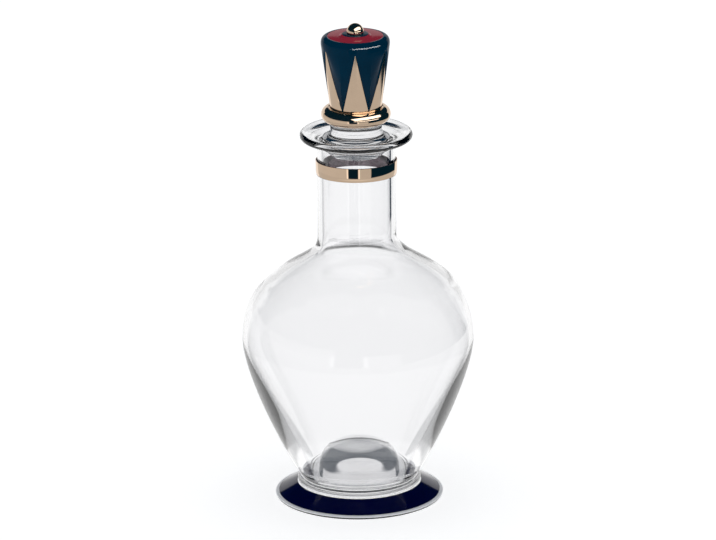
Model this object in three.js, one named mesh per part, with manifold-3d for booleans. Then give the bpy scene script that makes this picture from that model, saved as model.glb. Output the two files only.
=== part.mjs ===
// A stoppered glass carafe: a blown bottle on a spread foot, with a gilt band round its neck
// and a solid glass stopper that carries a gilt and enamelled knob.
// Millimetres, +Z up, origin at the middle of the ring that the foot stands on.

import * as THREE from 'three';
import { mergeVertices } from 'three/addons/utils/BufferGeometryUtils.js';
import Module from 'manifold-3d';

const wasm = await Module();
wasm.setup();

// How finely round pieces are divided
const stepsRound = 48;
const stepsOnSmallEdge = 3;
const stepsOnEdge = 4;
const stepsOnRoll = 6;
const stepsOnButton = 8;
const stepsOnBall = 10;
const stepsAlongSide = 12;
const stepsAlongShoulder = 14;
const weldTolerance = 1e-4;

// Clearances
const fitGap = 0.3;
const rodClearance = 0.25;
const bandPlay = 0.4;

// Foot
const footSlopeWidth = 10.9;
const footWidestHeight = 1.4;
const footUndercut = 1.1;
const footStandWidth = 4;
const footHollowDepth = 1.2;
const footEdgeHeight = 2.2;
const footClearMargin = 1.9;
const footSeatHeight = 7.8;

// Navy enamel on the foot's upper slope
const footEnamelThickness = 0.5;

// Clear button of glass between the foot and the bottle
const buttonRadius = 35.1;
const buttonHeight = 4.6;
const buttonRounding = 1.9;

// Bottle, outside
const baseRadius = 33.4;
const baseRounding = 1;
const flareAngle = 34.6;
const flareLength = 18.5;
const bellyRadius = 65.9;
const baseToBelly = 81.8;
const bellyFullnessBelow = 19.5;
const bellyFullnessAbove = 44.7;
const shoulderFullness = 19.5;
const neckRadius = 22.3;
const bellyToNeck = 61.8;
const neckLength = 60.4;

// Bottle, inside
const boreRadius = 18.7;
const bellyWall = 3.2;
const floorThickness = 3.6;
const floorRadius = 27.6;
const heelWidth = 6.8;
const heelRise = 13;
const kickRadius = 23.6;
const kickRise = 12;
const kickRoundness = 10.2;
const hollowRadius = 20;
const hollowDepth = 0.8;

// Lip
const lipRadius = 32;
const lipThickness = 4.4;
const lipUnderFillet = 4;
const mouthRadius = 19.8;
const mouthSink = 4;
const mouthChamfer = 1.2;

// Gilt band round the neck
const lipToBand = 16.7;
const bandHeight = 8.1;
const bandThickness = 0.5;
const bandTilt = 2.5;
const bandBevelHeight = 1.8;
const bandBevelDepth = 0.35;

// Glass stopper
const plugRadius = 18.3;
const plugTaper = 0.3;
const plugEndRadius = 14;
const plugLength = 9;
const plugChamferHeight = 4.2;
const collarRadius = 19.2;
const collarLift = 0.6;
const collarEdge = 1;
const collarFillet = 2;
const waistRadius = 14.6;
const collarToWaist = 5;
const waistLength = 4;
const pegRadius = 9;
const pegLength = 20;

// Threaded parts on the stopper's axis, with the threads drawn plain
const rodRadius = 2;
const bushRadius = 4.6;
const bushLength = 10;
const rodEndInBush = 1;
const rodEndInBall = 3;

// Washer and gilt ring under the knob
const washerThickness = 0.5;
const washerRadius = 12.5;
const ringSectionRadius = 4.1;
const ringCentreRadius = 15.65;
const ringWebThickness = 3;

// Knob, a gilt shell with navy enamel between its points
const knobFootRadius = 14.6;
const knobShoulderRadius = 19.4;
const knobHeight = 41.6;
const knobShoulderDrop = 5.8;
const knobShoulderSwell = 0.5;
const knobWall = 1.6;
const knobTopPlate = 3;
const enamelDepth = 1.2;
const pointCount = 6;
const pointTopDrop = 6.7;
const pointTopWidth = 0.5;

// Top of the knob
const redRadius = 15.8;
const bossRadius = 7.5;
const bossRise = 1.1;
const bossRounding = 0.6;
const ballRadius = 4.9;
const ballSink = 3.7;

// Heights and radii that follow from the values above
const buttonTop = footSeatHeight + buttonHeight;
const floorHeight = buttonTop + floorThickness;
const kickTop = floorHeight + kickRise;
const bellyHeight = buttonTop + baseToBelly;
const neckStartHeight = bellyHeight + bellyToNeck;
const lipHeight = neckStartHeight + neckLength;
const mouthHeight = lipHeight - mouthSink;
const bandTopHeight = lipHeight - lipToBand;
const plugEndHeight = mouthHeight - plugLength;
const collarHeight = mouthHeight + collarLift;
const waistHeight = collarHeight + collarToWaist;
const stopperTopHeight = waistHeight + waistLength;
const enamelEdgeRadius = buttonRadius + footSlopeWidth;
const footRadius = enamelEdgeRadius + footClearMargin;
const washerTop = stopperTopHeight + washerThickness;
const ringCentreHeight = washerTop + ringSectionRadius;
const ringTop = ringCentreHeight + ringSectionRadius;
const ringWebTop = washerTop + ringWebThickness;
const knobTop = ringTop + knobHeight;
const knobShoulderHeight = knobTop - knobShoulderDrop;
const pointTop = knobTop - pointTopDrop;
const plateTop = knobTop - enamelDepth;
const plateBottom = plateTop - knobTopPlate;
const bossTop = knobTop + bossRise;
const ballCentreHeight = bossTop + ballRadius - ballSink;
const rodHoleRadius = rodRadius + rodClearance;
const pegTop = stopperTopHeight + pegLength;
const pegHoleRadius = pegRadius + fitGap;
const bushBottom = pegTop - bushLength;

const radians = THREE.MathUtils.degToRad;
const degrees = THREE.MathUtils.radToDeg;
const at = (radius, height) => new THREE.Vector2(radius, height);

// Part of an ellipse, from one angle to another in degrees
function arc(centreRadius, centreHeight, reach, rise, from, to, steps = stepsOnEdge) {
  const curve = new THREE.EllipseCurve(
    centreRadius, centreHeight, reach, rise, radians(from), radians(to), to < from);
  return curve.getPoints(steps);
}

function bend(start, pullStart, pullEnd, end, steps = stepsAlongSide) {
  return new THREE.CubicBezierCurve(start, pullStart, pullEnd, end).getPoints(steps);
}

function toSolid(geometry) {
  const bare = geometry.clone();
  bare.deleteAttribute('normal');
  bare.deleteAttribute('uv');
  const welded = mergeVertices(bare, weldTolerance);
  const corners = welded.index.array;
  const kept = [];
  for (let i = 0; i < corners.length; i += 3) {
    const [a, b, c] = corners.slice(i, i + 3);
    if (a !== b && b !== c && c !== a) kept.push(a, b, c);
  }
  const vertProperties = new Float32Array(welded.attributes.position.array);
  const triVerts = new Uint32Array(kept);
  return new wasm.Manifold(new wasm.Mesh({ numProp: 3, vertProperties, triVerts }));
}

function toGeometry(solid) {
  const mesh = solid.getMesh();
  const geometry = new THREE.BufferGeometry();
  geometry.setAttribute('position', new THREE.BufferAttribute(mesh.vertProperties, mesh.numProp));
  geometry.setIndex(new THREE.BufferAttribute(mesh.triVerts, 1));
  geometry.computeVertexNormals();
  return geometry;
}

// Turns an outline about the Z axis. It is walked anticlockwise, with radius to the right and height up.
function turned(outline) {
  const points = outline.filter((p, i) => i === 0 || p.distanceTo(outline[i - 1]) > weldTolerance);
  const lathe = new THREE.LatheGeometry(points, stepsRound);
  lathe.rotateX(Math.PI / 2);
  return toSolid(lathe);
}

// Turns an outline that closes on itself away from the axis
function turnedRing(outline) {
  return turned([...outline, outline[0].clone()]);
}

// Foot: a clear glass disc with a hollow ground under it and a slope that carries the enamel
const slopeTopRadius = buttonRadius + fitGap;

function foot() {
  const standRadius = footRadius - footUndercut;
  const standInnerRadius = standRadius - footStandWidth;
  const enamelBed = footEnamelThickness + fitGap;
  return turned([
    at(0, footHollowDepth),
    at(standInnerRadius - footStandWidth, footHollowDepth),
    at(standInnerRadius, 0),
    ...arc(standRadius, footWidestHeight, footUndercut, footWidestHeight, -90, 0),
    ...arc(enamelEdgeRadius + fitGap, footWidestHeight, footClearMargin - fitGap,
      footEdgeHeight - footWidestHeight, 0, 90),
    at(enamelEdgeRadius + fitGap, footEdgeHeight - enamelBed),
    at(slopeTopRadius - fitGap, footSeatHeight - enamelBed),
    at(slopeTopRadius - fitGap, footSeatHeight),
    at(0, footSeatHeight),
  ]);
}

function footEnamel() {
  return turnedRing([
    at(slopeTopRadius, footSeatHeight - footEnamelThickness),
    at(enamelEdgeRadius, footEdgeHeight - footEnamelThickness),
    at(enamelEdgeRadius, footEdgeHeight),
    at(slopeTopRadius, footSeatHeight),
  ]);
}

// Button: a clear disc with a rounded edge, fused between the foot and the bottle
function button() {
  const half = buttonHeight / 2;
  return turned([
    at(0, footSeatHeight),
    ...arc(buttonRadius - buttonRounding, footSeatHeight + half, buttonRounding, half,
      -90, 90, stepsOnButton),
    at(0, buttonTop),
  ]);
}

// Bottle: one blown piece with its base, belly, neck and lip
function bottleOutside() {
  const baseTop = buttonTop + baseRounding;
  const flareEnd = at(
    baseRadius + flareLength * Math.sin(radians(flareAngle)),
    baseTop + flareLength * Math.cos(radians(flareAngle)));
  const belly = at(bellyRadius, bellyHeight);
  const lipRoll = lipThickness / 2;
  const underLip = lipHeight - lipThickness - lipUnderFillet;
  return [
    ...arc(0, buttonTop, hollowRadius, hollowDepth, 90, 0, stepsOnRoll),
    at(baseRadius - baseRounding, buttonTop),
    ...arc(baseRadius - baseRounding, baseTop, baseRounding, baseRounding, -90, 0, stepsOnSmallEdge),
    ...bend(at(baseRadius, baseTop), flareEnd, at(bellyRadius, bellyHeight - bellyFullnessBelow), belly),
    ...bend(belly, at(bellyRadius, bellyHeight + bellyFullnessAbove),
      at(neckRadius, neckStartHeight - shoulderFullness), at(neckRadius, neckStartHeight),
      stepsAlongShoulder),
    ...arc(neckRadius + lipUnderFillet, underLip, lipUnderFillet, lipUnderFillet, 180, 90),
    ...arc(lipRadius - lipRoll, lipHeight - lipRoll, lipRoll, lipRoll, -90, 90, stepsOnRoll),
  ];
}

function bottleInside() {
  const innerBelly = at(bellyRadius - bellyWall, bellyHeight);
  return [
    at(mouthRadius, mouthHeight),
    at(boreRadius, mouthHeight - mouthChamfer),
    ...bend(at(boreRadius, neckStartHeight),
      at(boreRadius, neckStartHeight - shoulderFullness - bellyWall),
      at(innerBelly.x, bellyHeight + bellyFullnessAbove - bellyWall), innerBelly,
      stepsAlongShoulder),
    ...bend(innerBelly, at(innerBelly.x, bellyHeight - bellyFullnessBelow),
      at(floorRadius + heelWidth, floorHeight + heelRise), at(floorRadius, floorHeight)),
    ...bend(at(kickRadius, floorHeight), at(kickRadius, kickTop),
      at(kickRadius - kickRoundness, kickTop), at(0, kickTop)),
  ];
}

function bottle() {
  return turned([...bottleOutside(), ...bottleInside()]);
}

// Gilt band: a strip ring that sits slightly out of square on the neck
function band() {
  const inner = neckRadius + bandPlay;
  const outer = inner + bandThickness;
  const half = bandHeight / 2;
  return turnedRing([
    at(inner, -half),
    at(outer - bandBevelDepth, -half),
    at(outer, bandBevelHeight - half),
    at(outer, half),
    at(inner, half),
  ]);
}

// Stopper: solid clear glass, ground to the bore, with a waist and a peg that stands hidden in the
// knob and has a socket for the bush
function stopperGlass() {
  return turned([
    at(0, plugEndHeight),
    at(plugEndRadius, plugEndHeight),
    at(plugRadius - plugTaper, plugEndHeight + plugChamferHeight),
    at(plugRadius, mouthHeight - mouthChamfer),
    ...bend(at(collarRadius, collarHeight), at(collarRadius - plugTaper, collarHeight + collarEdge),
      at(waistRadius, collarHeight + collarFillet), at(waistRadius, waistHeight), stepsOnRoll),
    at(waistRadius, stopperTopHeight),
    at(pegRadius, stopperTopHeight),
    at(pegRadius, pegTop),
    at(bushRadius + fitGap, pegTop),
    at(bushRadius + fitGap, bushBottom),
    at(0, bushBottom),
  ]);
}

function threadedBush() {
  return turnedRing([
    at(rodHoleRadius, bushBottom),
    at(bushRadius, bushBottom),
    at(bushRadius, pegTop),
    at(rodHoleRadius, pegTop),
  ]);
}

function tieRod() {
  const bottom = bushBottom + rodEndInBush;
  const top = bossTop + rodEndInBall;
  return turned([at(0, bottom), at(rodRadius, bottom), at(rodRadius, top), at(0, top)]);
}

function washer() {
  return turnedRing([
    at(pegHoleRadius, stopperTopHeight),
    at(washerRadius, stopperTopHeight),
    at(washerRadius, washerTop),
    at(pegHoleRadius, washerTop),
  ]);
}

// Gilt ring under the knob: a rounded moulding with a web that the knob stands on
function giltRing() {
  const socketRadius = knobFootRadius + fitGap;
  const lastAngle = Math.acos((socketRadius - ringCentreRadius) / ringSectionRadius);
  return turnedRing([
    at(pegHoleRadius, washerTop),
    ...arc(ringCentreRadius, ringCentreHeight, ringSectionRadius, ringSectionRadius,
      -90, degrees(lastAngle), stepsAlongSide),
    at(socketRadius, ringWebTop),
    at(pegHoleRadius, ringWebTop),
  ]);
}

// The knob's body from its foot over the swelling shoulder to its top, drawn inset by a depth
function knobBody(inset) {
  const shoulderRadius = knobShoulderRadius - inset;
  const top = knobTop - inset;
  const swell = at(shoulderRadius + knobShoulderSwell, (knobShoulderHeight + top) / 2);
  return turned([
    at(0, ringTop),
    at(knobFootRadius - inset, ringTop),
    ...bend(at(shoulderRadius, knobShoulderHeight), swell, at(shoulderRadius, top),
      at(redRadius + fitGap, top), stepsOnRoll),
    at(0, top),
  ]);
}

// Wedges that stand round the knob and cut its side into points
function pointWedges(margin) {
  const baseHalfWidth = knobFootRadius * Math.sin(Math.PI / pointCount);
  const topHalfWidth = pointTopWidth / 2;
  const spread = (baseHalfWidth - topHalfWidth) / (pointTop - ringTop);
  const bottomHalfWidth = baseHalfWidth + spread * ringSectionRadius + margin;
  const wedge = new THREE.Shape([
    at(-bottomHalfWidth, ringTop - ringSectionRadius),
    at(bottomHalfWidth, ringTop - ringSectionRadius),
    at(topHalfWidth + margin, pointTop + margin),
    at(-topHalfWidth - margin, pointTop + margin),
  ]);
  const depth = knobShoulderRadius + knobWall;
  const solids = [];
  for (let i = 0; i < pointCount; i += 1) {
    const geometry = new THREE.ExtrudeGeometry(wedge, { depth, bevelEnabled: false });
    geometry.rotateX(Math.PI / 2);
    geometry.rotateZ((i * 2 * Math.PI) / pointCount);
    solids.push(toSolid(geometry));
  }
  return solids.reduce((all, next) => all.add(next));
}

function knobShell() {
  const inside = enamelDepth + knobWall;
  const spigot = turned([
    at(0, ringWebTop),
    at(knobFootRadius, ringWebTop),
    at(knobFootRadius, ringTop),
    at(knobFootRadius - inside, ringTop + knobWall),
    at(0, ringTop + knobWall),
  ]);
  const cavity = turned([
    at(0, ringWebTop - knobWall),
    at(knobFootRadius - inside, ringWebTop - knobWall),
    at(knobFootRadius - inside, ringTop),
    at(knobShoulderRadius - inside, plateBottom),
    at(0, plateBottom),
  ]);
  const rodHole = turned([
    at(0, plateBottom - knobWall),
    at(rodHoleRadius, plateBottom - knobWall),
    at(rodHoleRadius, knobTop),
    at(0, knobTop),
  ]);
  const points = knobBody(0).intersect(pointWedges(0));
  return knobBody(enamelDepth).add(points).add(spigot).subtract(cavity).subtract(rodHole);
}

function knobEnamel() {
  const recess = turned([
    at(0, plateTop - knobWall),
    at(redRadius + fitGap, plateTop - knobWall),
    at(redRadius + fitGap, knobTop + knobWall),
    at(0, knobTop + knobWall),
  ]);
  const skin = knobBody(0).subtract(knobBody(enamelDepth - fitGap));
  return skin.subtract(pointWedges(fitGap)).subtract(recess);
}

// Top of the knob: a red enamel ring round a navy boss, and the gilt ball that closes the rod
function redEnamel() {
  return turnedRing([
    at(bossRadius + fitGap, plateTop),
    at(redRadius, plateTop),
    at(redRadius, knobTop),
    at(bossRadius + fitGap, knobTop),
  ]);
}

function boss() {
  return turnedRing([
    at(rodHoleRadius, plateTop),
    at(bossRadius, plateTop),
    ...arc(bossRadius - bossRounding, bossTop - bossRounding, bossRounding, bossRounding,
      0, 90, stepsOnSmallEdge),
    at(rodHoleRadius, bossTop),
  ]);
}

function ball() {
  const seatAngle = -degrees(Math.asin((ballRadius - ballSink) / ballRadius));
  const holeEnd = bossTop + rodEndInBall + fitGap;
  return turned([
    at(0, holeEnd),
    at(rodHoleRadius, holeEnd),
    at(rodHoleRadius, bossTop),
    ...arc(0, ballCentreHeight, ballRadius, ballRadius, seatAngle, 90, stepsOnBall),
  ]);
}

const clearGlass = { color: 0xf2f4f5, roughness: 0.02, metalness: 0, transparent: true, opacity: 0.35 };
const gilt = { color: 0xd9b08c, roughness: 0.14, metalness: 1 };
const navyEnamel = { color: 0x04122b, roughness: 0.08, metalness: 0 };
const cherryEnamel = { color: 0xa02640, roughness: 0.12, metalness: 0 };
const steel = { color: 0xb9bcc0, roughness: 0.3, metalness: 1 };
const fibre = { color: 0xd8cdb8, roughness: 0.8, metalness: 0 };

const carafe = new THREE.Group();

function addPiece(name, solid, look) {
  const piece = new THREE.Mesh(toGeometry(solid), new THREE.MeshStandardMaterial(look));
  piece.name = name;
  carafe.add(piece);
  return piece;
}

addPiece('foot', foot(), clearGlass);
addPiece('foot_enamel', footEnamel(), navyEnamel);
addPiece('foot_button', button(), clearGlass);
addPiece('bottle', bottle(), clearGlass);

const neckBand = addPiece('neck_band', band(), gilt);
neckBand.position.z = bandTopHeight - bandHeight / 2;
neckBand.rotation.x = -radians(bandTilt);

addPiece('stopper_glass', stopperGlass(), clearGlass);
addPiece('threaded_bush', threadedBush(), steel);
addPiece('tie_rod', tieRod(), steel);
addPiece('glass_washer', washer(), fibre);
addPiece('knob_ring', giltRing(), gilt);
addPiece('knob_shell', knobShell(), gilt);
addPiece('knob_enamel', knobEnamel(), navyEnamel);
addPiece('top_enamel', redEnamel(), cherryEnamel);
addPiece('top_boss', boss(), navyEnamel);
addPiece('finial_ball', ball(), gilt);

export default carafe;
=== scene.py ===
import math

import bpy
from bpy.props import FloatProperty, FloatVectorProperty, IntProperty, PointerProperty
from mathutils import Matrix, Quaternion, Vector
from mathutils.geometry import interpolate_bezier


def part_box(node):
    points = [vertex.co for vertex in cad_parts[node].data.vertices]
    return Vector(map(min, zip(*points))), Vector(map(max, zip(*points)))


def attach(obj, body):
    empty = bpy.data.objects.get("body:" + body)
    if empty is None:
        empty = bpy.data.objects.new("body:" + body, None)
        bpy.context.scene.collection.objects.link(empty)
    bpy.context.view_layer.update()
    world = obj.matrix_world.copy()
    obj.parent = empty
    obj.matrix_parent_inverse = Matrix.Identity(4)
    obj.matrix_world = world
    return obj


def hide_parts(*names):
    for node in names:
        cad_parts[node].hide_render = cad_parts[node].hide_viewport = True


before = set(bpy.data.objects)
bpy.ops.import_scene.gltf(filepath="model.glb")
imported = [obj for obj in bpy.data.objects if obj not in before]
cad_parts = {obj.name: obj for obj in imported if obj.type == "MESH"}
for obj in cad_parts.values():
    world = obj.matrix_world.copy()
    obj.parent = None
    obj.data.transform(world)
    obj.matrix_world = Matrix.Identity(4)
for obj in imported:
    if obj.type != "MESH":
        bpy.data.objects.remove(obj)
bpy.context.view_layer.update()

bl_info = {
    "name": "Stoppered carafe",
    "version": (1, 0, 0),
    "blender": (4, 5, 0),
    "location": "3D View > Sidebar > Carafe",
    "description": "Dresses a packed glass carafe with its foot, neck band and enamelled stopper",
    "category": "Object",
}

ROUND_STEPS = 192
FINE_ROUND_STEPS = 360
CURVE_STEPS = 40
CORNER_STEPS = 8
WELD = 1e-6
SHARP_ANGLE = math.radians(38)
NOWHERE = (0, 0, 0)
UP = (0, 0, 1)

# Heights of the foot enamel's two faces above the foot's slope
COAT_LOW = 0.00005
COAT_HIGH = 0.0003

# Brings a spot on the rim of a point just inside it
INWARDS = 0.9999


def length(name, description, millimetres):
    """A size that a user may change, given in millimetres and kept in metres."""
    return FloatProperty(
        name=name, description=description, default=millimetres / 1000, unit="LENGTH", precision=5
    )


def angle(name, description, degrees):
    """An angle that a user may change, given in degrees."""
    return FloatProperty(
        name=name, description=description, default=math.radians(degrees), unit="ROTATION"
    )


def colour(name, description, red, green, blue):
    """A surface colour that a user may change."""
    default = (red, green, blue)
    return FloatVectorProperty(
        name=name, description=description, default=default, min=0, max=1, subtype="COLOR"
    )


class CarafeGlassSizes(bpy.types.PropertyGroup):
    """Sizes of the foot, button and bottle."""

    foot_radius: length("Foot radius", "Widest radius of the foot", 47.9)
    foot_widest: length("Foot's widest height", "Height where the foot is widest", 1.4)
    foot_undercut: length("Foot undercut", "How far the foot draws in below its edge", 1.1)
    foot_stand: length("Stand width", "Width of the ring that the foot stands on", 4.0)
    foot_hollow: length("Foot hollow", "Depth of the hollow ground under the foot", 1.2)
    foot_edge: length("Foot edge height", "Height of the foot's upper edge", 2.2)
    foot_margin: length("Clear margin", "Width of the foot's edge that has no enamel", 1.9)
    foot_top: length("Foot height", "Height where the button stands on the foot", 7.8)
    enamel_depth: length("Foot enamel", "Thickness of the enamel on the foot", 0.5)
    button_radius: length("Button radius", "Radius of the clear button", 35.1)
    button_height: length("Button height", "Height of the clear button", 4.6)
    button_round: length("Button rounding", "Reach of the button's rounded edge", 1.9)
    base_radius: length("Base radius", "Radius of the bottle where it meets the button", 33.4)
    base_round: length("Base rounding", "Rounding of the bottle's lowest edge", 1.0)
    flare_angle: angle("Flare", "How far the wall leans out where it leaves the base", 34.6)
    flare_length: length("Flare pull", "How far the flare's direction holds", 18.5)
    belly_radius: length("Belly radius", "Widest radius of the bottle", 65.9)
    belly_height: length("Belly height", "Height of the widest place", 94.2)
    belly_below: length("Fullness below", "How full the belly is below its widest place", 19.5)
    belly_above: length("Fullness above", "How full the belly is above its widest place", 44.7)
    shoulder_pull: length("Shoulder pull", "How gently the shoulder turns into the neck", 19.5)
    neck_radius: length("Neck radius", "Outer radius of the neck", 22.3)
    neck_start: length("Neck start", "Height where the neck starts", 156.0)
    bore_radius: length("Bore radius", "Inner radius of the neck", 18.7)
    belly_wall: length("Belly wall", "Thickness of the wall at the belly", 3.2)
    floor_thickness: length("Floor thickness", "Thickness of the floor beside the kick", 3.6)
    floor_radius: length("Floor radius", "Radius where the inner floor turns up", 27.6)
    heel_width: length("Heel width", "How far the heel's pull reaches out", 6.8)
    heel_rise: length("Heel rise", "How far the heel's pull reaches up", 13.0)
    kick_radius: length("Kick radius", "Radius of the raised middle of the floor", 23.6)
    kick_rise: length("Kick rise", "How far the middle of the floor is raised", 12.0)
    kick_round: length("Kick rounding", "How far the kick's edge is rounded", 10.2)
    hollow_radius: length("Hollow radius", "Radius of the hollow under the bottle", 20.0)
    hollow_depth: length("Hollow depth", "Depth of the hollow under the bottle", 0.8)
    hollow_shift: length("Hollow shift", "How far the hollow lies off the axis", 2.5)
    base_gap: length("Base gap", "Air gap between the bottle's floor and the button", 0.06)
    sag: length("Shoulder sag", "How far the hand-blown shoulder leans to one side", 1.5)
    lip_radius: length("Lip radius", "Radius of the flared lip", 32.0)
    lip_height: length("Lip height", "Height of the top of the lip", 216.4)
    lip_thickness: length("Lip thickness", "Thickness of the lip's rounded edge", 4.4)
    lip_fillet: length("Lip fillet", "Fillet between the neck and the lip", 4.0)
    mouth_radius: length("Mouth radius", "Radius of the mouth", 19.8)
    mouth_height: length("Mouth height", "Height of the mouth's edge", 212.4)
    mouth_chamfer: length("Mouth chamfer", "Depth of the ground chamfer in the mouth", 1.2)
    band_top: length("Band top", "Height of the gilt band's upper edge", 199.7)
    band_height: length("Band height", "Height of the gilt band", 8.1)
    band_thickness: length("Band thickness", "Thickness of the gilt band", 0.5)
    band_play: length("Band play", "Gap between the band and the neck", 0.4)
    band_tilt: angle("Band tilt", "How far the band sits out of square", 2.5)
    band_bevel_height: length("Band bevel height", "Height of the band's lower bevel", 1.8)
    band_bevel_depth: length("Band bevel depth", "Depth of the band's lower bevel", 0.35)


class CarafeStopperSizes(bpy.types.PropertyGroup):
    """Sizes of the stopper and its knob."""

    plug_radius: length("Plug radius", "Radius of the ground plug", 18.3)
    plug_taper: length("Plug taper", "How much narrower the plug's lower end is", 0.3)
    plug_end_radius: length("Plug end radius", "Radius of the plug's flat end", 14.0)
    plug_end: length("Plug end", "Height of the plug's flat end", 203.4)
    plug_chamfer: length("Plug chamfer", "Height of the chamfer at the plug's end", 4.2)
    collar_radius: length("Collar radius", "Radius of the collar above the mouth", 19.2)
    collar_height: length("Collar height", "Height of the collar's edge", 213.0)
    collar_rise: length("Collar rise", "Height of the collar's flare", 1.8)
    collar_edge: length("Collar edge", "How far the collar's edge stays steep", 1.0)
    collar_fillet: length("Collar fillet", "How gently the collar turns into the waist", 2.0)
    waist_radius: length("Waist radius", "Radius of the stopper's waist", 14.6)
    waist_height: length("Waist height", "Height where the waist starts", 218.0)
    glass_top: length("Glass top", "Height of the stopper's glass", 222.0)
    ring_section: length("Ring section", "Radius of the gilt ring's section", 4.1)
    ring_radius: length("Ring radius", "Radius of the gilt ring's centre line", 15.65)
    peg_radius: length("Peg radius", "Radius of the peg that stands in the knob", 9.0)
    peg_length: length("Peg length", "Length of the peg that stands in the knob", 20.0)
    peg_play: length("Peg play", "Gap between the peg and the pieces round it", 0.3)
    rod_play: length("Rod play", "Gap between the tie rod and the holes it passes", 0.25)
    washer: length("Washer", "Thickness of the washer under the ring", 0.5)
    web: length("Ring web", "Thickness of the ring's web, which carries the knob", 3.0)
    knob_foot: length("Knob foot", "Radius of the knob where it meets the ring", 14.6)
    knob_shoulder: length("Knob shoulder", "Radius of the knob at its shoulder", 19.4)
    knob_swell: length("Knob swell", "How far the shoulder swells out", 0.5)
    knob_height: length("Knob height", "Height of the knob above the ring", 41.6)
    knob_drop: length("Shoulder drop", "Height of the rounded shoulder", 5.8)
    point_drop: length("Point drop", "Distance of the points' tips below the top", 6.7)
    point_foot: length("Point width", "Half of a point's width where it leaves the ring", 7.3)
    point_tip: length("Tip width", "Half of a point's width at its tip", 0.22)
    point_relief: length("Point relief", "How far the points stand above the enamel", 0.1)
    point_edge: length("Point edge", "Width of the bevel round a point", 0.2)
    enamel_depth: length("Enamel depth", "Depth of the enamel on the knob", 0.9)
    knob_wall: length("Knob wall", "Thickness of the gilt shell behind the enamel", 1.6)
    knob_plate: length("Knob plate", "Thickness of the knob's top plate", 3.0)
    red_radius: length("Red radius", "Radius of the red enamel", 15.8)
    boss_radius: length("Boss radius", "Radius of the navy boss", 7.5)
    boss_rise: length("Boss rise", "Rise of the boss above the red enamel", 1.1)
    enamel_meet: length("Enamel edge", "Rounding and gap where two enamels meet", 0.04)
    ball_radius: length("Ball radius", "Radius of the ball", 4.9)
    ball_sink: length("Ball sink", "How far the ball is cut off below", 3.7)
    points: IntProperty(name="Points", description="Points round the knob", default=6, min=3)


class CarafeColours(bpy.types.PropertyGroup):
    """Colours of the carafe's finishes."""

    glass: colour("Glass", "Tint of the clear glass", 0.988, 0.989, 0.996)
    gilt: colour("Gilt", "Colour of the polished gilt", 0.80, 0.60, 0.43)
    foot_navy: colour("Foot navy", "Colour of the enamel on the foot", 0.0, 0.0005, 0.033)
    knob_navy: colour("Knob navy", "Colour of the enamel on the knob", 0.0, 0.028, 0.061)
    red: colour("Red", "Colour of the enamel on the knob's top", 0.37, 0.028, 0.052)
    steel: colour("Steel", "Colour of the rod and bush", 0.55, 0.56, 0.58)
    fibre: colour("Fibre", "Colour of the soft washer", 0.62, 0.56, 0.46)


# Outlines, drawn in the XZ plane with radius along X


def at(radius, height):
    return Vector((radius, 0, height))


def arc(centre, reach, rise, start, end, steps=CORNER_STEPS):
    """Points along part of an ellipse, from one angle to another in degrees."""
    turns = [math.radians(start + (end - start) * i / steps) for i in range(steps + 1)]
    return [centre + at(reach * math.cos(t), rise * math.sin(t)) for t in turns]


def bend(start, pull_start, pull_end, end, steps=CURVE_STEPS):
    """Points along a curve that leaves start towards one point and comes to end from another."""
    return interpolate_bezier(start, pull_start, pull_end, end, steps + 1)


# Modelling by hand


def enter(mode):
    bpy.ops.object.mode_set(mode=mode)


def deselect():
    """Leaves edit mode with nothing selected."""
    if bpy.context.mode != "OBJECT":
        enter("OBJECT")
    bpy.ops.object.select_all(action="DESELECT")


def pick(piece):
    """Selects one piece alone and makes it the active one."""
    deselect()
    piece.select_set(True)
    bpy.context.view_layer.objects.active = piece


def draw_outline(name, outline):
    """Shrinks a plane to one vertex and draws the outline from it. Stays in edit mode."""
    deselect()
    bpy.ops.mesh.primitive_plane_add(size=outline[0].length)
    piece = bpy.context.object
    piece.name = name
    piece.data.name = name
    enter("EDIT")
    bpy.ops.mesh.select_mode(type="VERT")
    bpy.ops.mesh.merge(type="CENTER")
    bpy.ops.transform.translate(value=outline[0])
    for here, there in zip(outline, outline[1:]):
        if (there - here).length > WELD:
            bpy.ops.mesh.extrude_region_move(TRANSFORM_OT_translate={"value": there - here})
    return piece


def turn(name, outline, steps=ROUND_STEPS):
    """Draws an outline and spins it about the Z axis into a closed piece."""
    piece = draw_outline(name, outline)
    bpy.ops.mesh.select_all(action="SELECT")
    bpy.ops.mesh.spin(steps=steps, angle=math.tau, center=NOWHERE, axis=UP)
    bpy.ops.mesh.select_all(action="SELECT")
    bpy.ops.mesh.remove_doubles(threshold=WELD)
    bpy.ops.mesh.normals_make_consistent(inside=False)
    enter("OBJECT")
    bpy.ops.object.shade_smooth_by_angle(angle=SHARP_ANGLE)
    return piece


def turn_ring(name, outline, steps=ROUND_STEPS):
    """Spins an outline that closes on itself away from the axis."""
    return turn(name, [*outline, outline[0]], steps)


def select(piece, wanted):
    """Goes into edit mode with only the vertices selected that are wanted."""
    pick(piece)
    enter("EDIT")
    bpy.ops.mesh.select_mode(type="VERT")
    bpy.ops.mesh.select_all(action="DESELECT")
    enter("OBJECT")
    for vertex in piece.data.vertices:
        vertex.select = wanted(vertex.co)
    enter("EDIT")


def select_faces(piece, wanted):
    """Goes into edit mode with only the faces selected whose centres are wanted."""
    select(piece, lambda spot: False)
    bpy.ops.mesh.select_mode(type="FACE")
    enter("OBJECT")
    for face in piece.data.polygons:
        face.select = wanted(face.center)
    enter("EDIT")


def drag(way, reach):
    """Moves what is selected, and what lies within reach with it by a smooth share."""
    bpy.ops.transform.translate(
        value=way,
        use_proportional_edit=True,
        proportional_edit_falloff="SMOOTH",
        proportional_size=reach,
    )


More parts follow.
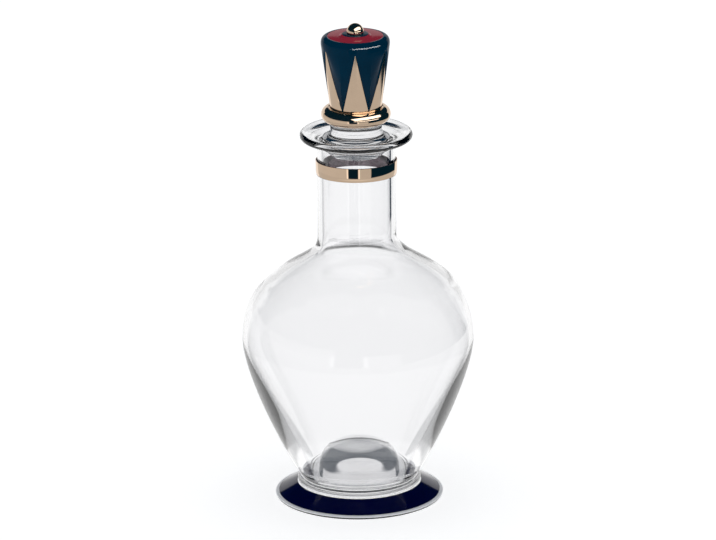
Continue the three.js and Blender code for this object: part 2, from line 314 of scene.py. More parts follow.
def thicken(piece, depth):
    """Gives a sheet a thickness inwards."""
    pick(piece)
    bpy.ops.object.modifier_add(type="SOLIDIFY")
    wall = piece.modifiers[-1]
    wall.thickness = depth
    wall.offset = -1
    bpy.ops.object.modifier_apply(modifier=wall.name)


def join(kept, other):
    pick(kept)
    other.select_set(True)
    bpy.ops.object.join()


def finish(piece, body, slot, look, *nodes):
    """Gives a piece its finish, lets it ride on its body and stand for its nodes."""
    piece.data.materials.clear()
    piece.data.materials.append(bpy.data.materials[look])
    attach(piece, body)
    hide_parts(*nodes)


# Finishes

# Refractive indices, low for the enamels because their dark tones show little shine in the photo
GLASS = 1.5
FOOT_ENAMEL = 1.33
KNOB_ENAMEL = 1.12

# Painted shade on the band's inner face, which lies against the neck: a dark tint in place of the
# gilt
BAND_INSIDE_SHADE = (0.10, 0.06, 0.075, 1)

# The ground edge of the foot: its colour, its share over clear glass and how softly it starts
GROUND_GLASS = (0.95, 0.96, 0.98, 1)
GROUND_SHARE = 0.9
GROUND_FADE = 0.0001

# The gilt's darker and lighter tone, as shares of its colour
GILT_TONES = (0.94, 1.05)


class Wire:
    """A shader socket that takes part in sums. Each sum adds a node."""

    def __init__(self, sheet, socket):
        self.sheet = sheet
        self.socket = socket

    def math(self, operation, *others):
        """A Math node that takes this socket first."""
        values = dict(enumerate((self, *others)))
        return self.sheet.node("ShaderNodeMath", {"operation": operation}, values)

    def beside(self, name):
        """Another output of the same node."""
        return Wire(self.sheet, self.socket.node.outputs[name])

    def __add__(self, other):
        return self.math("ADD", other)

    __radd__ = __add__

    def __sub__(self, other):
        return self.math("SUBTRACT", other)

    def __rsub__(self, other):
        return self.math("MULTIPLY_ADD", -1, other)

    def __mul__(self, other):
        return self.math("MULTIPLY", other)

    def __neg__(self):
        return self * -1

    def smooth(self, low, high):
        """0 below low and 1 above high, with a smooth step between."""
        return self.sheet.node(
            "ShaderNodeMapRange",
            {"interpolation_type": "SMOOTHSTEP"},
            {"Value": self, "From Min": low, "From Max": high},
        )

    def above(self, limit, soft):
        """0 below a limit and 1 above it, with a soft edge."""
        return self.smooth(limit - soft, limit + soft)

    def below(self, limit, soft):
        return 1 - self.above(limit, soft)


class Sheet:
    """The node tree of one material or of the world."""

    def __init__(self, owner):
        self.owner = owner
        owner.use_nodes = True
        self.tree = owner.node_tree
        self.tree.nodes.clear()

    def node(self, kind, settings=None, inputs=None, output=0):
        """Adds a node, sets it up, feeds its sockets and returns one output."""
        made = self.tree.nodes.new(kind)
        for key, value in (settings or {}).items():
            setattr(made, key, value)
        for place, value in (inputs or {}).items():
            if isinstance(value, Wire):
                self.tree.links.new(value.socket, made.inputs[place])
            else:
                made.inputs[place].default_value = value
        return Wire(self, made.outputs[output])

    def coordinates(self, scale=(1, 1, 1)):
        place = self.node("ShaderNodeTexCoord", output="Object")
        return self.node("ShaderNodeMapping", inputs={"Vector": place, "Scale": scale})

    def noise(self, scale, detail, stretch=(1, 1, 1)):
        return self.node(
            "ShaderNodeTexNoise",
            inputs={"Vector": self.coordinates(stretch), "Scale": scale, "Detail": detail},
        )

    def blend(self, amount, first, second):
        """A colour between two colours."""
        return self.node(
            "ShaderNodeMix",
            {"data_type": "RGBA"},
            {"Factor": amount, 6: first, 7: second},
            output=2,
        )

    def shades(self, amount, value, darker, lighter):
        """A colour that varies between a darker and a lighter shade of itself."""
        return self.blend(amount, rgb(value, darker), rgb(value, lighter))

    def split(self, vector):
        return self.node("ShaderNodeSeparateXYZ", inputs={"Vector": vector})

    def distance(self, place, middle=NOWHERE):
        return self.node(
            "ShaderNodeVectorMath", {"operation": "DISTANCE"}, {0: place, 1: middle}, "Value"
        )

    def axis_distance(self):
        """Distance from the carafe's axis."""
        return self.distance(self.coordinates((1, 1, 0)))

    def bump(self, height, strength, distance):
        return self.node(
            "ShaderNodeBump",
            inputs={"Height": height, "Strength": strength, "Distance": distance},
        )

    def principled(self, inputs):
        return self.node("ShaderNodeBsdfPrincipled", inputs=inputs)

    def close(self, shader, output="ShaderNodeOutputMaterial"):
        made = self.tree.nodes.new(output)
        self.tree.links.new(shader.socket, made.inputs["Surface"])


def rgb(value, factor=1.0):
    """A colour property as a socket value, made lighter or darker."""
    return (*(min(1.0, part * factor) for part in value), 1.0)


def new_finish(name):
    return Sheet(bpy.data.materials.new(name))


def metal(sheet, tint, roughness):
    sheet.close(sheet.principled({"Base Color": tint, "Metallic": 1.0, "Roughness": roughness}))


def clear_glass(sheet, colours):
    """Clear blown glass, with a slight waviness."""
    waves = sheet.noise(28.0, 1.0)
    return sheet.principled({
        "Base Color": rgb(colours.glass),
        "Roughness": 0.0,
        "IOR": GLASS,
        "Transmission Weight": 1.0,
        "Normal": sheet.bump(waves, 0.02, 0.002),
    })


def glass_finish(colours):
    sheet = new_finish("Clear glass")
    sheet.close(clear_glass(sheet, colours))


def foot_glass_finish(colours, sizes):
    """The foot's glass, whose edge is finely ground above its widest place."""
    sheet = new_finish("Foot glass")
    height = sheet.split(sheet.coordinates()).beside("Z")
    margin = sizes.foot_radius - sizes.foot_margin
    beyond = sheet.axis_distance().smooth(margin, margin + GROUND_FADE)
    above = height.smooth(sizes.foot_widest - 2 * GROUND_FADE, sizes.foot_widest)
    share = beyond * above * GROUND_SHARE
    clear = clear_glass(sheet, colours)
    ground = sheet.node("ShaderNodeBsdfDiffuse", inputs={"Color": GROUND_GLASS})
    sheet.close(sheet.node("ShaderNodeMixShader", inputs={0: share, 1: clear, 2: ground}))


def gilt_finish(colours):
    """Polished champagne gilt, a little uneven in tone and gloss."""
    sheet = new_finish("Polished gilt")
    tone = sheet.noise(120.0, 3.0)
    wear = sheet.noise(900.0, 2.0, (1, 1, 0.15))
    metal(sheet, sheet.shades(tone, colours.gilt, *GILT_TONES), 0.04 + wear * 0.06)


def band_finish(colours, sizes):
    """The neck band's gilt, bright outside, with painted shade on the face that lies against the
    neck.
    """
    sheet = new_finish("Band gilt")
    tone = sheet.noise(120.0, 3.0)
    middle = sizes.neck_radius + sizes.band_play + sizes.band_thickness / 2
    outside = sheet.axis_distance().above(middle, sizes.band_thickness / 10)
    bright = sheet.shades(tone, colours.gilt, *GILT_TONES)
    # Painted shade: the inner face gets a dark tint instead of the gilt
    metal(sheet, sheet.blend(outside, BAND_INSIDE_SHADE, bright), 0.02 + tone * 0.03)


def enamel_finish(name, base, index):
    """Fired gloss enamel, slightly clouded in the depth and rippled at the surface."""
    sheet = new_finish(name)
    cloud = sheet.noise(90.0, 3.0)
    ripple = sheet.noise(420.0, 1.0)
    sheet.close(sheet.principled({
        "Base Color": sheet.shades(cloud, base, 0.8, 1.25),
        "Roughness": 0.05 + cloud * 0.06,
        "IOR": index,
        "Normal": sheet.bump(ripple, 0.02, 0.0005),
    }))


def steel_finish(colours):
    """Turned steel with fine rings."""
    sheet = new_finish("Turned steel")
    rings = sheet.noise(600.0, 2.0, (0.1, 0.1, 4))
    metal(sheet, sheet.shades(rings, colours.steel, 0.9, 1.1), 0.2 + rings * 0.2)


def fibre_finish(colours):
    """Pressed fibre with a fleck."""
    sheet = new_finish("Pressed fibre")
    fleck = sheet.noise(1500.0, 4.0)
    sheet.close(sheet.principled({
        "Base Color": sheet.shades(fleck, colours.fibre, 0.8, 1.15),
        "Roughness": 0.7 + fleck * 0.2,
    }))


# Outlines of the glass


def button_top(s):
    return s.foot_top + s.button_height


def foot_outline(s):
    stand = s.foot_radius - s.foot_undercut
    stand_inside = stand - s.foot_stand
    margin = s.foot_radius - s.foot_margin
    return [
        at(0, s.foot_hollow),
        *bend(
            at(stand_inside - s.foot_stand, s.foot_hollow),
            at(stand_inside - s.foot_stand / 2, s.foot_hollow),
            at(stand_inside - s.foot_stand / 3, 0),
            at(stand_inside, 0),
            CORNER_STEPS,
        ),
        *arc(at(stand, s.foot_widest), s.foot_undercut, s.foot_widest, -90, 0),
        *arc(at(margin, s.foot_widest), s.foot_margin, s.foot_edge - s.foot_widest, 0, 90),
        at(s.button_radius, s.foot_top),
    ]


def button_outline(s):
    half = s.button_height / 2
    centre = at(s.button_radius - s.button_round, s.foot_top + half)
    return [
        *arc(centre, s.button_round, half, -90, 90, 2 * CORNER_STEPS),
        at(0, button_top(s)),
    ]


def bottle_underside(s):
    """The hollow under the bottle, a hair's breadth above the button."""
    centre = at(0, button_top(s) + s.base_gap)
    return arc(centre, s.hollow_radius, s.hollow_depth, 90, 0, CURVE_STEPS // 2)


def bottle_outside(s):
    base_top = button_top(s) + s.base_round
    flare = at(math.sin(s.flare_angle), math.cos(s.flare_angle)) * s.flare_length
    base = at(s.base_radius, base_top)
    belly = at(s.belly_radius, s.belly_height)
    roll = s.lip_thickness / 2
    under_lip = s.lip_height - s.lip_thickness - s.lip_fillet
    edge = arc(base - at(s.base_round, 0), s.base_round, s.base_round - s.base_gap, -90, 0)
    return [
        *edge,
        *bend(base, base + flare, belly - at(0, s.belly_below), belly),
        *bend(
            belly,
            belly + at(0, s.belly_above),
            at(s.neck_radius, s.neck_start - s.shoulder_pull),
            at(s.neck_radius, s.neck_start),
        ),
        *arc(at(s.neck_radius + s.lip_fillet, under_lip), s.lip_fillet, s.lip_fillet, 180, 90),
        *arc(at(s.lip_radius - roll, s.lip_height - roll), roll, roll, -90, 90),
    ]


def bottle_inside(s):
    inner_belly = at(s.belly_radius - s.belly_wall, s.belly_height)
    floor = button_top(s) + s.floor_thickness
    kick_top = floor + s.kick_rise
    return [
        at(s.mouth_radius, s.mouth_height),
        at(s.bore_radius, s.mouth_height - s.mouth_chamfer),
        *bend(
            at(s.bore_radius, s.neck_start),
            at(s.bore_radius, s.neck_start - s.shoulder_pull - s.belly_wall),
            inner_belly + at(0, s.belly_above - s.belly_wall),
            inner_belly,
        ),
        *bend(
            inner_belly,
            inner_belly - at(0, s.belly_below),
            at(s.floor_radius + s.heel_width, floor + s.heel_rise),
            at(s.floor_radius, floor),
        ),
        *bend(
            at(s.kick_radius, floor),
            at(s.kick_radius, kick_top),
            at(s.kick_radius - s.kick_round, kick_top),
            at(0, kick_top),
        ),
    ]


# Outlines of the knob


def ring_seat(s):
    return s.glass_top + s.washer


def knob_low(s):
    return ring_seat(s) + 2 * s.ring_section


def knob_high(s):
    return knob_low(s) + s.knob_height


def boss_high(s):
    return knob_high(s) + s.boss_rise


def tip_height(s):
    return knob_high(s) - s.point_drop


def knob_radius(s, height):
    """Radius of the knob's tapered side at a height."""
    shoulder = knob_high(s) - s.knob_drop
    part = (height - knob_low(s)) / (shoulder - knob_low(s))
    return s.knob_foot + (s.knob_shoulder - s.knob_foot) * part


def knob_side(s, inset=0.0):
    """The knob's side from its foot over the swelling shoulder to the red enamel's edge."""
    low, high, tip = knob_low(s), knob_high(s) - inset, tip_height(s)
    shoulder = at(s.knob_shoulder - inset, knob_high(s) - s.knob_drop)
    return [
        at(s.knob_foot - inset, low),
        at(knob_radius(s, tip) - inset, tip),
        *bend(
            shoulder,
            at(shoulder.x + s.knob_swell, (shoulder.z + high) / 2),
            at(shoulder.x, high),
            at(s.red_radius, high),
            CURVE_STEPS // 2,
        ),
    ]


# Operators, one for each piece or group of like pieces


class CARAFE_OT_finishes(bpy.types.Operator):
    """Makes the finishes."""

    bl_idname = "carafe.finishes"
    bl_label = "Finishes"

    def execute(self, context):
        colours = context.scene.carafe_colours
        sizes = context.scene.carafe_glass
        glass_finish(colours)
        foot_glass_finish(colours, sizes)
        gilt_finish(colours)
        band_finish(colours, sizes)
        enamel_finish("Foot navy enamel", colours.foot_navy, FOOT_ENAMEL)
        enamel_finish("Knob navy enamel", colours.knob_navy, KNOB_ENAMEL)
        enamel_finish("Red enamel", colours.red, KNOB_ENAMEL)
        steel_finish(colours)
        fibre_finish(colours)
        return {"FINISHED"}


class CARAFE_OT_foot(bpy.types.Operator):
    """Makes the foot and the button, which are fused into one glass."""

    bl_idname = "carafe.foot"
    bl_label = "Foot and button"

    def execute(self, context):
        s = context.scene.carafe_glass
        foot = turn("glass_foot", foot_outline(s) + button_outline(s))
        finish(foot, "carafe", "clear_glass", "Foot glass", "foot", "foot_button")
        return {"FINISHED"}


class CARAFE_OT_bottle(bpy.types.Operator):
    """Makes the blown bottle, with its hollow off the axis and its shoulder sagging a little."""

    bl_idname = "carafe.bottle"
    bl_label = "Bottle"

    def execute(self, context):
        s = context.scene.carafe_glass
        bottle = turn("glass_bottle", bottle_underside(s) + bottle_outside(s) + bottle_inside(s))
        hollow_top = button_top(s) + s.base_gap + s.hollow_depth
        select(bottle, lambda spot: abs(spot.z - hollow_top) < WELD)
        drag(at(s.hollow_shift, 0), s.hollow_radius)
        middle = (s.belly_height + s.neck_start) / 2
        third = (s.neck_start - s.belly_height) / 3
        select(bottle, lambda spot: middle < spot.z < middle + third)
        drag(at(s.sag, 0), third / 2)
        enter("OBJECT")
        finish(bottle, "carafe", "clear_glass", "Clear glass", "bottle")
        return {"FINISHED"}


class CARAFE_OT_foot_enamel(bpy.types.Operator):
    """Makes the navy enamel on the foot's slope."""

    bl_idname = "carafe.foot_enamel"
    bl_label = "Foot enamel"

    def execute(self, context):
        s = context.scene.carafe_glass
        edge = at(s.foot_radius - s.foot_margin, s.foot_edge)
        inner = at(s.button_radius + s.enamel_depth / 2, s.foot_top)
        low = at(0, COAT_LOW)
        high = at(0, COAT_HIGH)
        outline = [inner + low, edge + low, edge + high, inner + high]
        coat = turn_ring("foot_enamel_coat", outline)
        finish(coat, "carafe", "navy_enamel", "Foot navy enamel", "foot_enamel")
        return {"FINISHED"}


class CARAFE_OT_band(bpy.types.Operator):
    """Makes the gilt band, tilted on the neck."""

    bl_idname = "carafe.band"
    bl_label = "Neck band"

    def execute(self, context):
        s = context.scene.carafe_glass
        inner = s.neck_radius + s.band_play
        outer = inner + s.band_thickness
        middle = s.band_top - s.band_height / 2
        low = s.band_top - s.band_height
        edge = s.band_thickness / 4
        outline = [
            at(inner, low),
            at(outer - s.band_bevel_depth, low),
            at(outer - edge / 4, low + s.band_bevel_height),
            at(outer, low + s.band_bevel_height + edge),
            *arc(at(outer - edge, s.band_top - edge), edge, edge, 0, 90, CORNER_STEPS // 2),
            at(inner, s.band_top),
        ]
        band = turn_ring("gilt_neck_band", outline)
        enter("EDIT")
        bpy.ops.mesh.select_all(action="SELECT")
        bpy.ops.transform.rotate(value=s.band_tilt, orient_axis="X", center_override=at(0, middle))
        enter("OBJECT")
        finish(band, "carafe", "gilt", "Band gilt", "neck_band")
        return {"FINISHED"}


class CARAFE_OT_stopper_glass(bpy.types.Operator):
    """Makes the glass part of the stopper."""

    bl_idname = "carafe.stopper_glass"
    bl_label = "Stopper glass"

    def execute(self, context):
        s = context.scene.carafe_stopper
        bush_low, bush_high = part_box("threaded_bush")
        socket = bush_high.x + s.peg_play
        peg_top = s.glass_top + s.peg_length
        outline = [
            at(0, s.plug_end),
            at(s.plug_end_radius, s.plug_end),
            at(s.plug_radius - s.plug_taper, s.plug_end + s.plug_chamfer),
            at(s.plug_radius, s.collar_height - s.collar_rise),
            *bend(
                at(s.collar_radius, s.collar_height),
                at(s.collar_radius - s.plug_taper, s.collar_height + s.collar_edge),
                at(s.waist_radius, s.collar_height + s.collar_fillet),
                at(s.waist_radius, s.waist_height),
                CURVE_STEPS // 2,
            ),
            at(s.waist_radius, s.glass_top),
            at(s.peg_radius, s.glass_top),
            at(s.peg_radius, peg_top),
            at(socket, peg_top),
            at(socket, bush_low.z),
            at(0, bush_low.z),
        ]
        plug = turn("stopper_plug", outline)
        finish(plug, "stopper", "clear_glass", "Clear glass", "stopper_glass")
        return {"FINISHED"}


class CARAFE_OT_knob_ring(bpy.types.Operator):
    """Makes the gilt ring under the knob."""

    bl_idname = "carafe.knob_ring"
    bl_label = "Knob ring"

    def execute(self, context):
        s = context.scene.carafe_stopper
        hole = s.peg_radius + s.peg_play
        centre = at(s.ring_radius, ring_seat(s) + s.ring_section)
        last = math.degrees(math.acos((s.knob_foot - s.ring_radius) / s.ring_section))
        web_top = ring_seat(s) + s.web
        outline = [
            at(hole, ring_seat(s)),
            *arc(centre, s.ring_section, s.ring_section, -90, last, CURVE_STEPS),
            at(s.knob_foot, web_top),
            at(hole, web_top),
        ]
        ring = turn_ring("gilt_knob_ring", outline)
        finish(ring, "stopper", "gilt", "Polished gilt", "knob_ring")
        return {"FINISHED"}


class CARAFE_OT_knob(bpy.types.Operator):
    """Makes the knob's gilt shell with its raised points, and the navy enamel between them."""

    bl_idname = "carafe.knob"
    bl_label = "Knob"

    def execute(self, context):
        s = context.scene.carafe_stopper
        enamel = turn("navy_knob_enamel", knob_side(s), FINE_ROUND_STEPS)
        for i in range(s.points):
            for side in (-1, 1):
                self.cut_point(s, enamel, i * math.tau / s.points, side)
        select_faces(enamel, lambda spot: self.on_point(s, spot))
        bpy.ops.mesh.separate(type="SELECTED")
        enter("OBJECT")
        points = next(piece for piece in context.selected_objects if piece != enamel)
        thicken(enamel, s.enamel_depth - s.point_relief)
        thicken(points, s.enamel_depth)
        self.raise_points(s, points)
        shell = self.shell(s)
        join(shell, points)
        finish(enamel, "stopper", "navy_enamel", "Knob navy enamel", "knob_enamel")
        finish(shell, "stopper", "gilt", "Polished gilt", "knob_shell")
        return {"FINISHED"}

    def half_width(self, s, height):
        part = (height - knob_low(s)) / (tip_height(s) - knob_low(s))
        return s.point_foot + (s.point_tip - s.point_foot) * part

    def aside(self, s, spot):
        """How far round the knob a spot lies from the middle of the nearest point, as an angle."""
        sector = math.tau / s.points
        return (math.atan2(spot.x, -spot.y) + sector / 2) % sector - sector / 2

    def on_point(self, s, spot):
        across = math.hypot(spot.x, spot.y) * math.sin(abs(self.aside(s, spot)))
        return spot.z < tip_height(s) and across < self.half_width(s, spot.z)

    def cut_point(self, s, enamel, turned, side):
        """Cuts one slanting side of a point into the enamel, only near that point."""
        outward = Vector((math.sin(turned), -math.cos(turned), 0))
        across = Vector((math.cos(turned), math.sin(turned), 0)) * side
        low = self.half_width(s, knob_low(s))
        lean = low - self.half_width(s, tip_height(s))
        rise = tip_height(s) - knob_low(s)

        def near(spot):
            return spot.z < tip_height(s) and 0 < spot.dot(across) < spot.dot(outward)

        select_faces(enamel, near)
        bpy.ops.mesh.bisect(
            plane_co=across * low + at(0, knob_low(s)),
            plane_no=(across * rise + at(0, lean)).normalized(),
            threshold=WELD,
        )
        enter("OBJECT")

    def raise_points(self, s, points):
        """Raises the points a little above the enamel, with a narrow bevel round each."""

        def outside(spot):
            skin = knob_radius(s, spot.z) - s.enamel_depth / 4
            return math.hypot(spot.x, spot.y) > skin and self.on_point(s, spot * INWARDS)

        select_faces(points, outside)
        bpy.ops.mesh.inset(thickness=s.point_edge, depth=s.point_relief)
        enter("OBJECT")
        bpy.ops.object.shade_smooth_by_angle(angle=SHARP_ANGLE / 3)

    def shell(self, s):
        inset = s.enamel_depth
        inside = inset + s.knob_wall
        low, web_top = knob_low(s), ring_seat(s) + s.web
        plate_top = knob_high(s) - inset
        plate_low = plate_top - s.knob_plate
        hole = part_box("tie_rod")[1].x + s.rod_play
        outline = [
            at(s.knob_foot - inside, web_top),
            at(s.knob_foot, web_top),
            at(s.knob_foot, low),
            *knob_side(s, inset),
            at(hole, plate_top),
            at(hole, plate_low),
            at(s.knob_shoulder - inside, plate_low),
            at(s.knob_foot - inside, low),
        ]
        return turn_ring("gilt_knob_shell", outline, FINE_ROUND_STEPS)


class CARAFE_OT_knob_top(bpy.types.Operator):
    """Makes the red enamel, the navy boss and the gilt ball on the knob's top."""

    bl_idname = "carafe.knob_top"
    bl_label = "Knob top"

    def execute(self, context):
        s = context.scene.carafe_stopper
        bed = knob_high(s) - s.enamel_depth
        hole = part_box("tie_rod")[1].x + s.rod_play
        red = self.red(s, bed)
        boss = self.boss(s, bed, hole)
        ball = self.ball(s, hole)
        finish(red, "stopper", "red_enamel", "Red enamel", "top_enamel")
        finish(boss, "stopper", "navy_enamel", "Knob navy enamel", "top_boss")
        finish(ball, "stopper", "gilt", "Polished gilt", "finial_ball")
        return {"FINISHED"}

    def red(self, s, bed):
        """A flat ring whose inner edge rises against the boss."""
        outer = s.red_radius - s.enamel_meet
        inner = s.boss_radius + s.enamel_meet
        edge = s.enamel_meet
        rise = s.boss_rise - 2 * edge
        outline = [
            at(inner, bed),
            at(outer, bed),
            *arc(at(outer - edge, knob_high(s) - edge), edge, edge, 0, 90, CORNER_STEPS // 2),
            *bend(
                at(inner + 2 * rise, knob_high(s)),
                at(inner + rise, knob_high(s)),
                at(inner + rise / 2, knob_high(s) + rise),
                at(inner, knob_high(s) + rise),
                2 * CORNER_STEPS,
            ),
        ]
        return turn_ring("red_top_enamel", outline)

    def boss(self, s, bed, hole):
        """A flat disc with a small rounding."""
        edge = 2 * s.enamel_meet
        outline = [
            at(hole, bed),
            at(s.boss_radius, bed),
            *arc(at(s.boss_radius - edge, boss_high(s) - edge), edge, edge, 0, 90),
            at(hole, boss_high(s)),
        ]
        return turn_ring("navy_top_boss", outline)

    def ball(self, s, hole):
        centre = boss_high(s) + s.ball_radius - s.ball_sink
        seat = -math.degrees(math.asin((s.ball_radius - s.ball_sink) / s.ball_radius))
        socket_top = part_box("tie_rod")[1].z + s.rod_play
        outline = [
            at(0, socket_top),
            at(hole, socket_top),
            at(hole, boss_high(s)),
            *arc(at(0, centre), s.ball_radius, s.ball_radius, seat, 90, CURVE_STEPS),
        ]
        return turn("gilt_ball", outline)


class CARAFE_OT_hidden_parts(bpy.types.Operator):
    """Makes the tie rod, its bush and the washer, which hold the knob to the glass."""

    bl_idname = "carafe.hidden_parts"
    bl_label = "Rod, bush and washer"

    def execute(self, context):
        s = context.scene.carafe_stopper
        rod_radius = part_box("tie_rod")[1].x
        hole = rod_radius + s.rod_play
        rod = self.sleeve("steel_tie_rod", "tie_rod", rod_radius / 4, s.rod_play)
        bush = self.sleeve("steel_bush", "threaded_bush", hole, s.rod_play)
        peg_hole = s.peg_radius + s.peg_play
        washer = self.sleeve("fibre_washer", "glass_washer", peg_hole, s.washer / 4)
        finish(rod, "stopper", "steel", "Turned steel", "tie_rod")
        finish(bush, "stopper", "steel", "Turned steel", "threaded_bush")
        finish(washer, "stopper", "fibre", "Pressed fibre", "glass_washer")
        return {"FINISHED"}

    def sleeve(self, name, node, inner, edge):
        """A round piece with a hole and chamfered rims, as large as its node."""
        low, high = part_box(node)
        outer = high.x
        outline = [
            at(inner, low.z),
            at(outer - edge, low.z),
            at(outer, low.z + edge),
            at(outer, high.z - edge),
            at(outer - edge, high.z),
            at(inner, high.z),
        ]
        return turn_ring(name, outline, ROUND_STEPS // 2)


# Stage

# The camera, fitted to the photo, with its elevation in degrees
LENS_PIXELS = 7500.0
PHOTO_WIDTH = 716.0
SENSOR_WIDTH = 36.0
CAMERA_DISTANCE = 4.26
CAMERA_ELEVATION = 17.87
CAMERA_ROLL = math.radians(0.535)
CAMERA_TARGET = (0, 0, 0.13375)
SHIFT_PIXELS = 0.6

# The floor, and how far places on it reach from their middles and how softly they end
FLOOR_RADIUS = 9
FLOOR_SIDES = 64
FLOOR_DROP = 0.00005
TABLE_MIDDLE = (0, 0.08, 0)
TABLE_REACH = 0.53
TABLE_SOFT = 0.01
NEAR_TABLE = 0.29
NEAR_SOFT = 0.03
UNDER_FOOT = 0.056
UNDER_SOFT = 0.002

# Light levels, where 1 is white, and the colours of the floor and of the room's dark parts
TABLE_LIGHT = 0.6
NEAR_LIGHT = 1.1
UNDER_LIGHT = 1.05
LEFT_LIGHT = 0.65
EDGE_LIGHT = 1.3
PLAIN_LIGHT = 0.7
PALE_LIGHT = 0.55
FLOOR_GLOW = 0.6
CLOTH = (0.8, 0.8, 0.8, 1)
DARK_TONE = (0.002, 0.016, 0.034, 1)

# Where the backdrop and the left wall end above, as the Z part of a direction
BACKDROP_TOP = 0.29
WALL_TOP = 0.13
TOP_SOFT = 0.01

# Where the studio's parts begin and end, as compass angles in degrees
BACKDROP = 136
PALE_ROOM = 112
LEFT_WALL = (-136, -23)
FRONT_PANEL = (5, 41)
THIN_EDGE = 4
SOFT_EDGE = math.radians(1.5)

# Soft boxes that only pieces of the knob mirror: name, those pieces, compass angle, elevations,
# width, distance and brightness. The enamel shines little, so its box is the brightest by far.
SHOULDER = ("navy_knob_enamel",)
OTHERS = ("gilt_knob_ring", "gilt_knob_shell", "gilt_ball", "navy_top_boss", "red_top_enamel")
SOFT_BOXES = (
    ("shoulder_soft_box", SHOULDER, 38, (8, 26), 2.9, 1.2, 90.0),
    ("low_soft_box", OTHERS, 36, (8, 13), 2.2, 1.2, 3.5),
    ("high_soft_box", OTHERS, 46, (30, 66), 2.6, 1.3, 2.4),
)
KNOB_HEIGHT = 0.25


def direction(way, rise):
    """The direction towards a compass angle and an elevation, both in degrees."""
    level = math.cos(math.radians(rise))
    across = math.sin(math.radians(way)) * level
    towards = math.cos(math.radians(way)) * level
    return Vector((across, -towards, math.sin(math.radians(rise))))


def compass(split):
    """Which way a direction points: 0 towards the camera, growing to the right, in radians."""
    return split.beside("X").math("ARCTAN2", -split.beside("Y"))


def between(way, low, high):
    """1 between two compass angles given in degrees, with soft edges."""
    return way.above(math.radians(low), SOFT_EDGE) * way.below(math.radians(high), SOFT_EDGE)


def behind(way):
    """1 where the white backdrop hangs, behind the carafe."""
    return way.math("ABSOLUTE").above(math.radians(BACKDROP), SOFT_EDGE)


def thin_edges(way):
    """The light edges of the dark stripe in front, each a few degrees wide."""
    left, right = LEFT_WALL[1], FRONT_PANEL[0]
    return between(way, left - THIN_EDGE, left) + between(way, right, right + THIN_EDGE)


def paler_in_front(seen, through, way):
    """The light that is seen, with a pale room in front for rays that come out of the glass."""
    front = way.math("ABSOLUTE").below(math.radians(PALE_ROOM), SOFT_EDGE)
    return seen + through * front * (PALE_LIGHT - seen).math("MAXIMUM", 0)


def dusk(sheet, kind, seen, camera):
    """A deep tone in the room's dark parts, for all rays but the camera's."""
    dark = 1 - seen.math("MINIMUM", 1)
    return sheet.node(kind, inputs={"Color": DARK_TONE, "Strength": (1 - camera) * dark})


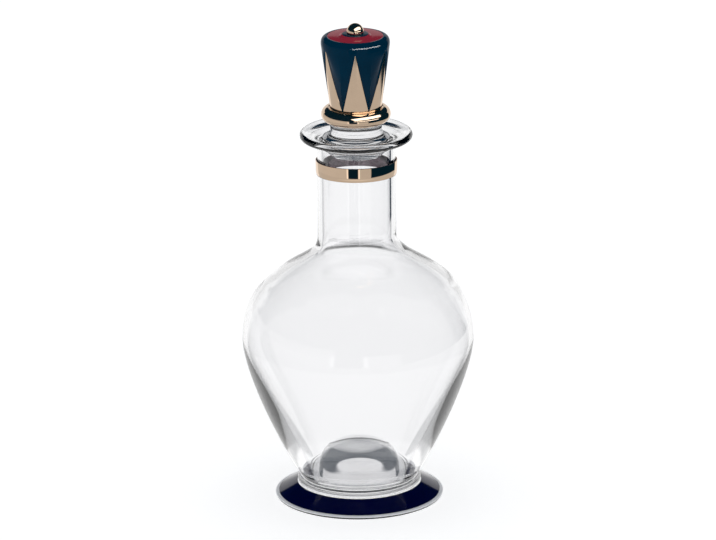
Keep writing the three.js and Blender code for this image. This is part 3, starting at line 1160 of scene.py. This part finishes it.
class CARAFE_OT_stage(bpy.types.Operator):
    """Sets up the floor, the surroundings, the lamps and the camera."""

    bl_idname = "carafe.stage"
    bl_label = "Stage"

    def execute(self, context):
        self.floor()
        self.surroundings(context.scene)
        self.soft_boxes()
        self.camera(context.scene)
        return {"FINISHED"}

    def floor(self):
        deselect()
        bpy.ops.mesh.primitive_circle_add(
            vertices=FLOOR_SIDES,
            radius=FLOOR_RADIUS,
            fill_type="NGON",
            location=at(0, -FLOOR_DROP),
        )
        floor = bpy.context.object
        floor.name = "floor"
        sheet = new_finish("Pale floor")
        place = sheet.node("ShaderNodeNewGeometry", output="Position")
        camera = sheet.node("ShaderNodeLightPath", output="Is Camera Ray")
        seen = self.floor_light(sheet, place, camera.beside("Is Transmission Ray"))
        glow = sheet.node(
            "ShaderNodeEmission", inputs={"Strength": camera * FLOOR_GLOW + (1 - camera) * seen}
        )
        cloth = sheet.node("ShaderNodeBsdfDiffuse", inputs={"Color": CLOTH})
        deep = dusk(sheet, "ShaderNodeEmission", seen, camera)
        shown = sheet.node("ShaderNodeAddShader", inputs={0: glow, 1: cloth})
        mirrored = sheet.node("ShaderNodeAddShader", inputs={0: glow, 1: deep})
        sheet.close(sheet.node("ShaderNodeMixShader", inputs={0: camera, 1: mirrored, 2: shown}))
        floor.data.materials.append(sheet.owner)

    def floor_light(self, sheet, place, through):
        """How bright the floor looks in mirrors and through glass."""
        way = compass(sheet.split(place))
        away = sheet.distance(place)
        on_table = sheet.distance(place, TABLE_MIDDLE).below(TABLE_REACH, TABLE_SOFT)
        near = away.below(NEAR_TABLE, NEAR_SOFT) * (1 - through)
        under = away.below(UNDER_FOOT, UNDER_SOFT) * through
        table = TABLE_LIGHT + under * (UNDER_LIGHT - TABLE_LIGHT)
        table = table + near * (NEAR_LIGHT - TABLE_LIGHT)
        room = between(way, *LEFT_WALL) * LEFT_LIGHT + between(way, *FRONT_PANEL) * TABLE_LIGHT
        room = room + thin_edges(way) * (EDGE_LIGHT - TABLE_LIGHT)
        back = behind(way)
        seen = back + (1 - back) * (on_table * table + (1 - on_table) * room)
        return paler_in_front(seen, through, way)

    def surroundings(self, scene):
        scene.world = bpy.data.worlds.new("Studio")
        sheet = Sheet(scene.world)
        split = sheet.split(sheet.node("ShaderNodeTexCoord", output="Generated"))
        way = compass(split)
        rise = split.beside("Z")
        camera = sheet.node("ShaderNodeLightPath", output="Is Camera Ray")
        glossy = camera.beside("Is Glossy Ray")
        backdrop = behind(way) * rise.below(BACKDROP_TOP, TOP_SOFT)
        wall = between(way, *LEFT_WALL) * rise.below(WALL_TOP, TOP_SOFT)
        through = camera.beside("Is Transmission Ray")
        seen = paler_in_front(backdrop + wall * LEFT_LIGHT, through, way)
        strength = camera + (1 - camera) * (glossy * seen + (1 - glossy) * PLAIN_LIGHT)
        light = sheet.node("ShaderNodeBackground", inputs={"Strength": strength})
        deep = dusk(sheet, "ShaderNodeBackground", seen, camera)
        both = sheet.node("ShaderNodeAddShader", inputs={0: light, 1: deep})
        sheet.close(both, "ShaderNodeOutputWorld")

    def soft_boxes(self):
        """Rectangular lamps at the front right, mirrored by the knob's pieces alone."""
        for name, pieces, way, (low, high), width, distance, brightness in SOFT_BOXES:
            seen_by = bpy.data.collections.new(name)
            for piece in pieces:
                seen_by.objects.link(bpy.data.objects[piece])
            aim = direction(way, (low + high) / 2)
            height = 2 * distance * math.tan(math.radians((high - low) / 2))
            deselect()
            bpy.ops.object.light_add(
                type="AREA",
                location=aim * distance + at(0, KNOB_HEIGHT),
                rotation=aim.to_track_quat("Z", "Y").to_euler(),
            )
            lamp = bpy.context.object
            lamp.name = name
            lamp.data.shape = "RECTANGLE"
            lamp.data.size = width
            lamp.data.size_y = height
            lamp.data.energy = brightness * width * height * math.pi
            lamp.visible_camera = False
            lamp.visible_diffuse = False
            lamp.light_linking.receiver_collection = seen_by

    def camera(self, scene):
        deselect()
        back = direction(0, CAMERA_ELEVATION)
        bpy.ops.object.camera_add(location=Vector(CAMERA_TARGET) + back * CAMERA_DISTANCE)
        camera = bpy.context.object
        camera.name = "camera"
        camera.rotation_mode = "QUATERNION"
        aim = (-back).to_track_quat("-Z", "Y")
        camera.rotation_quaternion = aim @ Quaternion(UP, -CAMERA_ROLL)
        camera.data.sensor_width = SENSOR_WIDTH
        camera.data.lens = LENS_PIXELS / PHOTO_WIDTH * SENSOR_WIDTH
        camera.data.shift_x = SHIFT_PIXELS / PHOTO_WIDTH
        scene.camera = camera
        scene.view_settings.view_transform = "Standard"


OPERATORS = (
    CARAFE_OT_finishes,
    CARAFE_OT_foot,
    CARAFE_OT_bottle,
    CARAFE_OT_foot_enamel,
    CARAFE_OT_band,
    CARAFE_OT_stopper_glass,
    CARAFE_OT_knob_ring,
    CARAFE_OT_knob,
    CARAFE_OT_knob_top,
    CARAFE_OT_hidden_parts,
    CARAFE_OT_stage,
)


class CARAFE_PT_panel(bpy.types.Panel):
    """Lists the carafe's pieces in the sidebar."""

    bl_idname = "CARAFE_PT_panel"
    bl_label = "Carafe"
    bl_space_type = "VIEW_3D"
    bl_region_type = "UI"
    bl_category = "Carafe"

    def draw(self, context):
        for step in OPERATORS:
            self.layout.operator(step.bl_idname)


CLASSES = (CarafeGlassSizes, CarafeStopperSizes, CarafeColours, *OPERATORS, CARAFE_PT_panel)


def register():
    for kind in CLASSES:
        bpy.utils.register_class(kind)
    bpy.types.Scene.carafe_glass = PointerProperty(type=CarafeGlassSizes)
    bpy.types.Scene.carafe_stopper = PointerProperty(type=CarafeStopperSizes)
    bpy.types.Scene.carafe_colours = PointerProperty(type=CarafeColours)


def unregister():
    del bpy.types.Scene.carafe_colours
    del bpy.types.Scene.carafe_stopper
    del bpy.types.Scene.carafe_glass
    for kind in reversed(CLASSES):
        bpy.utils.unregister_class(kind)


def main():
    register()
    for step in OPERATORS:
        name = step.bl_idname.removeprefix("carafe.")
        getattr(bpy.ops.carafe, name)()


if __name__ == "__main__":
    main()
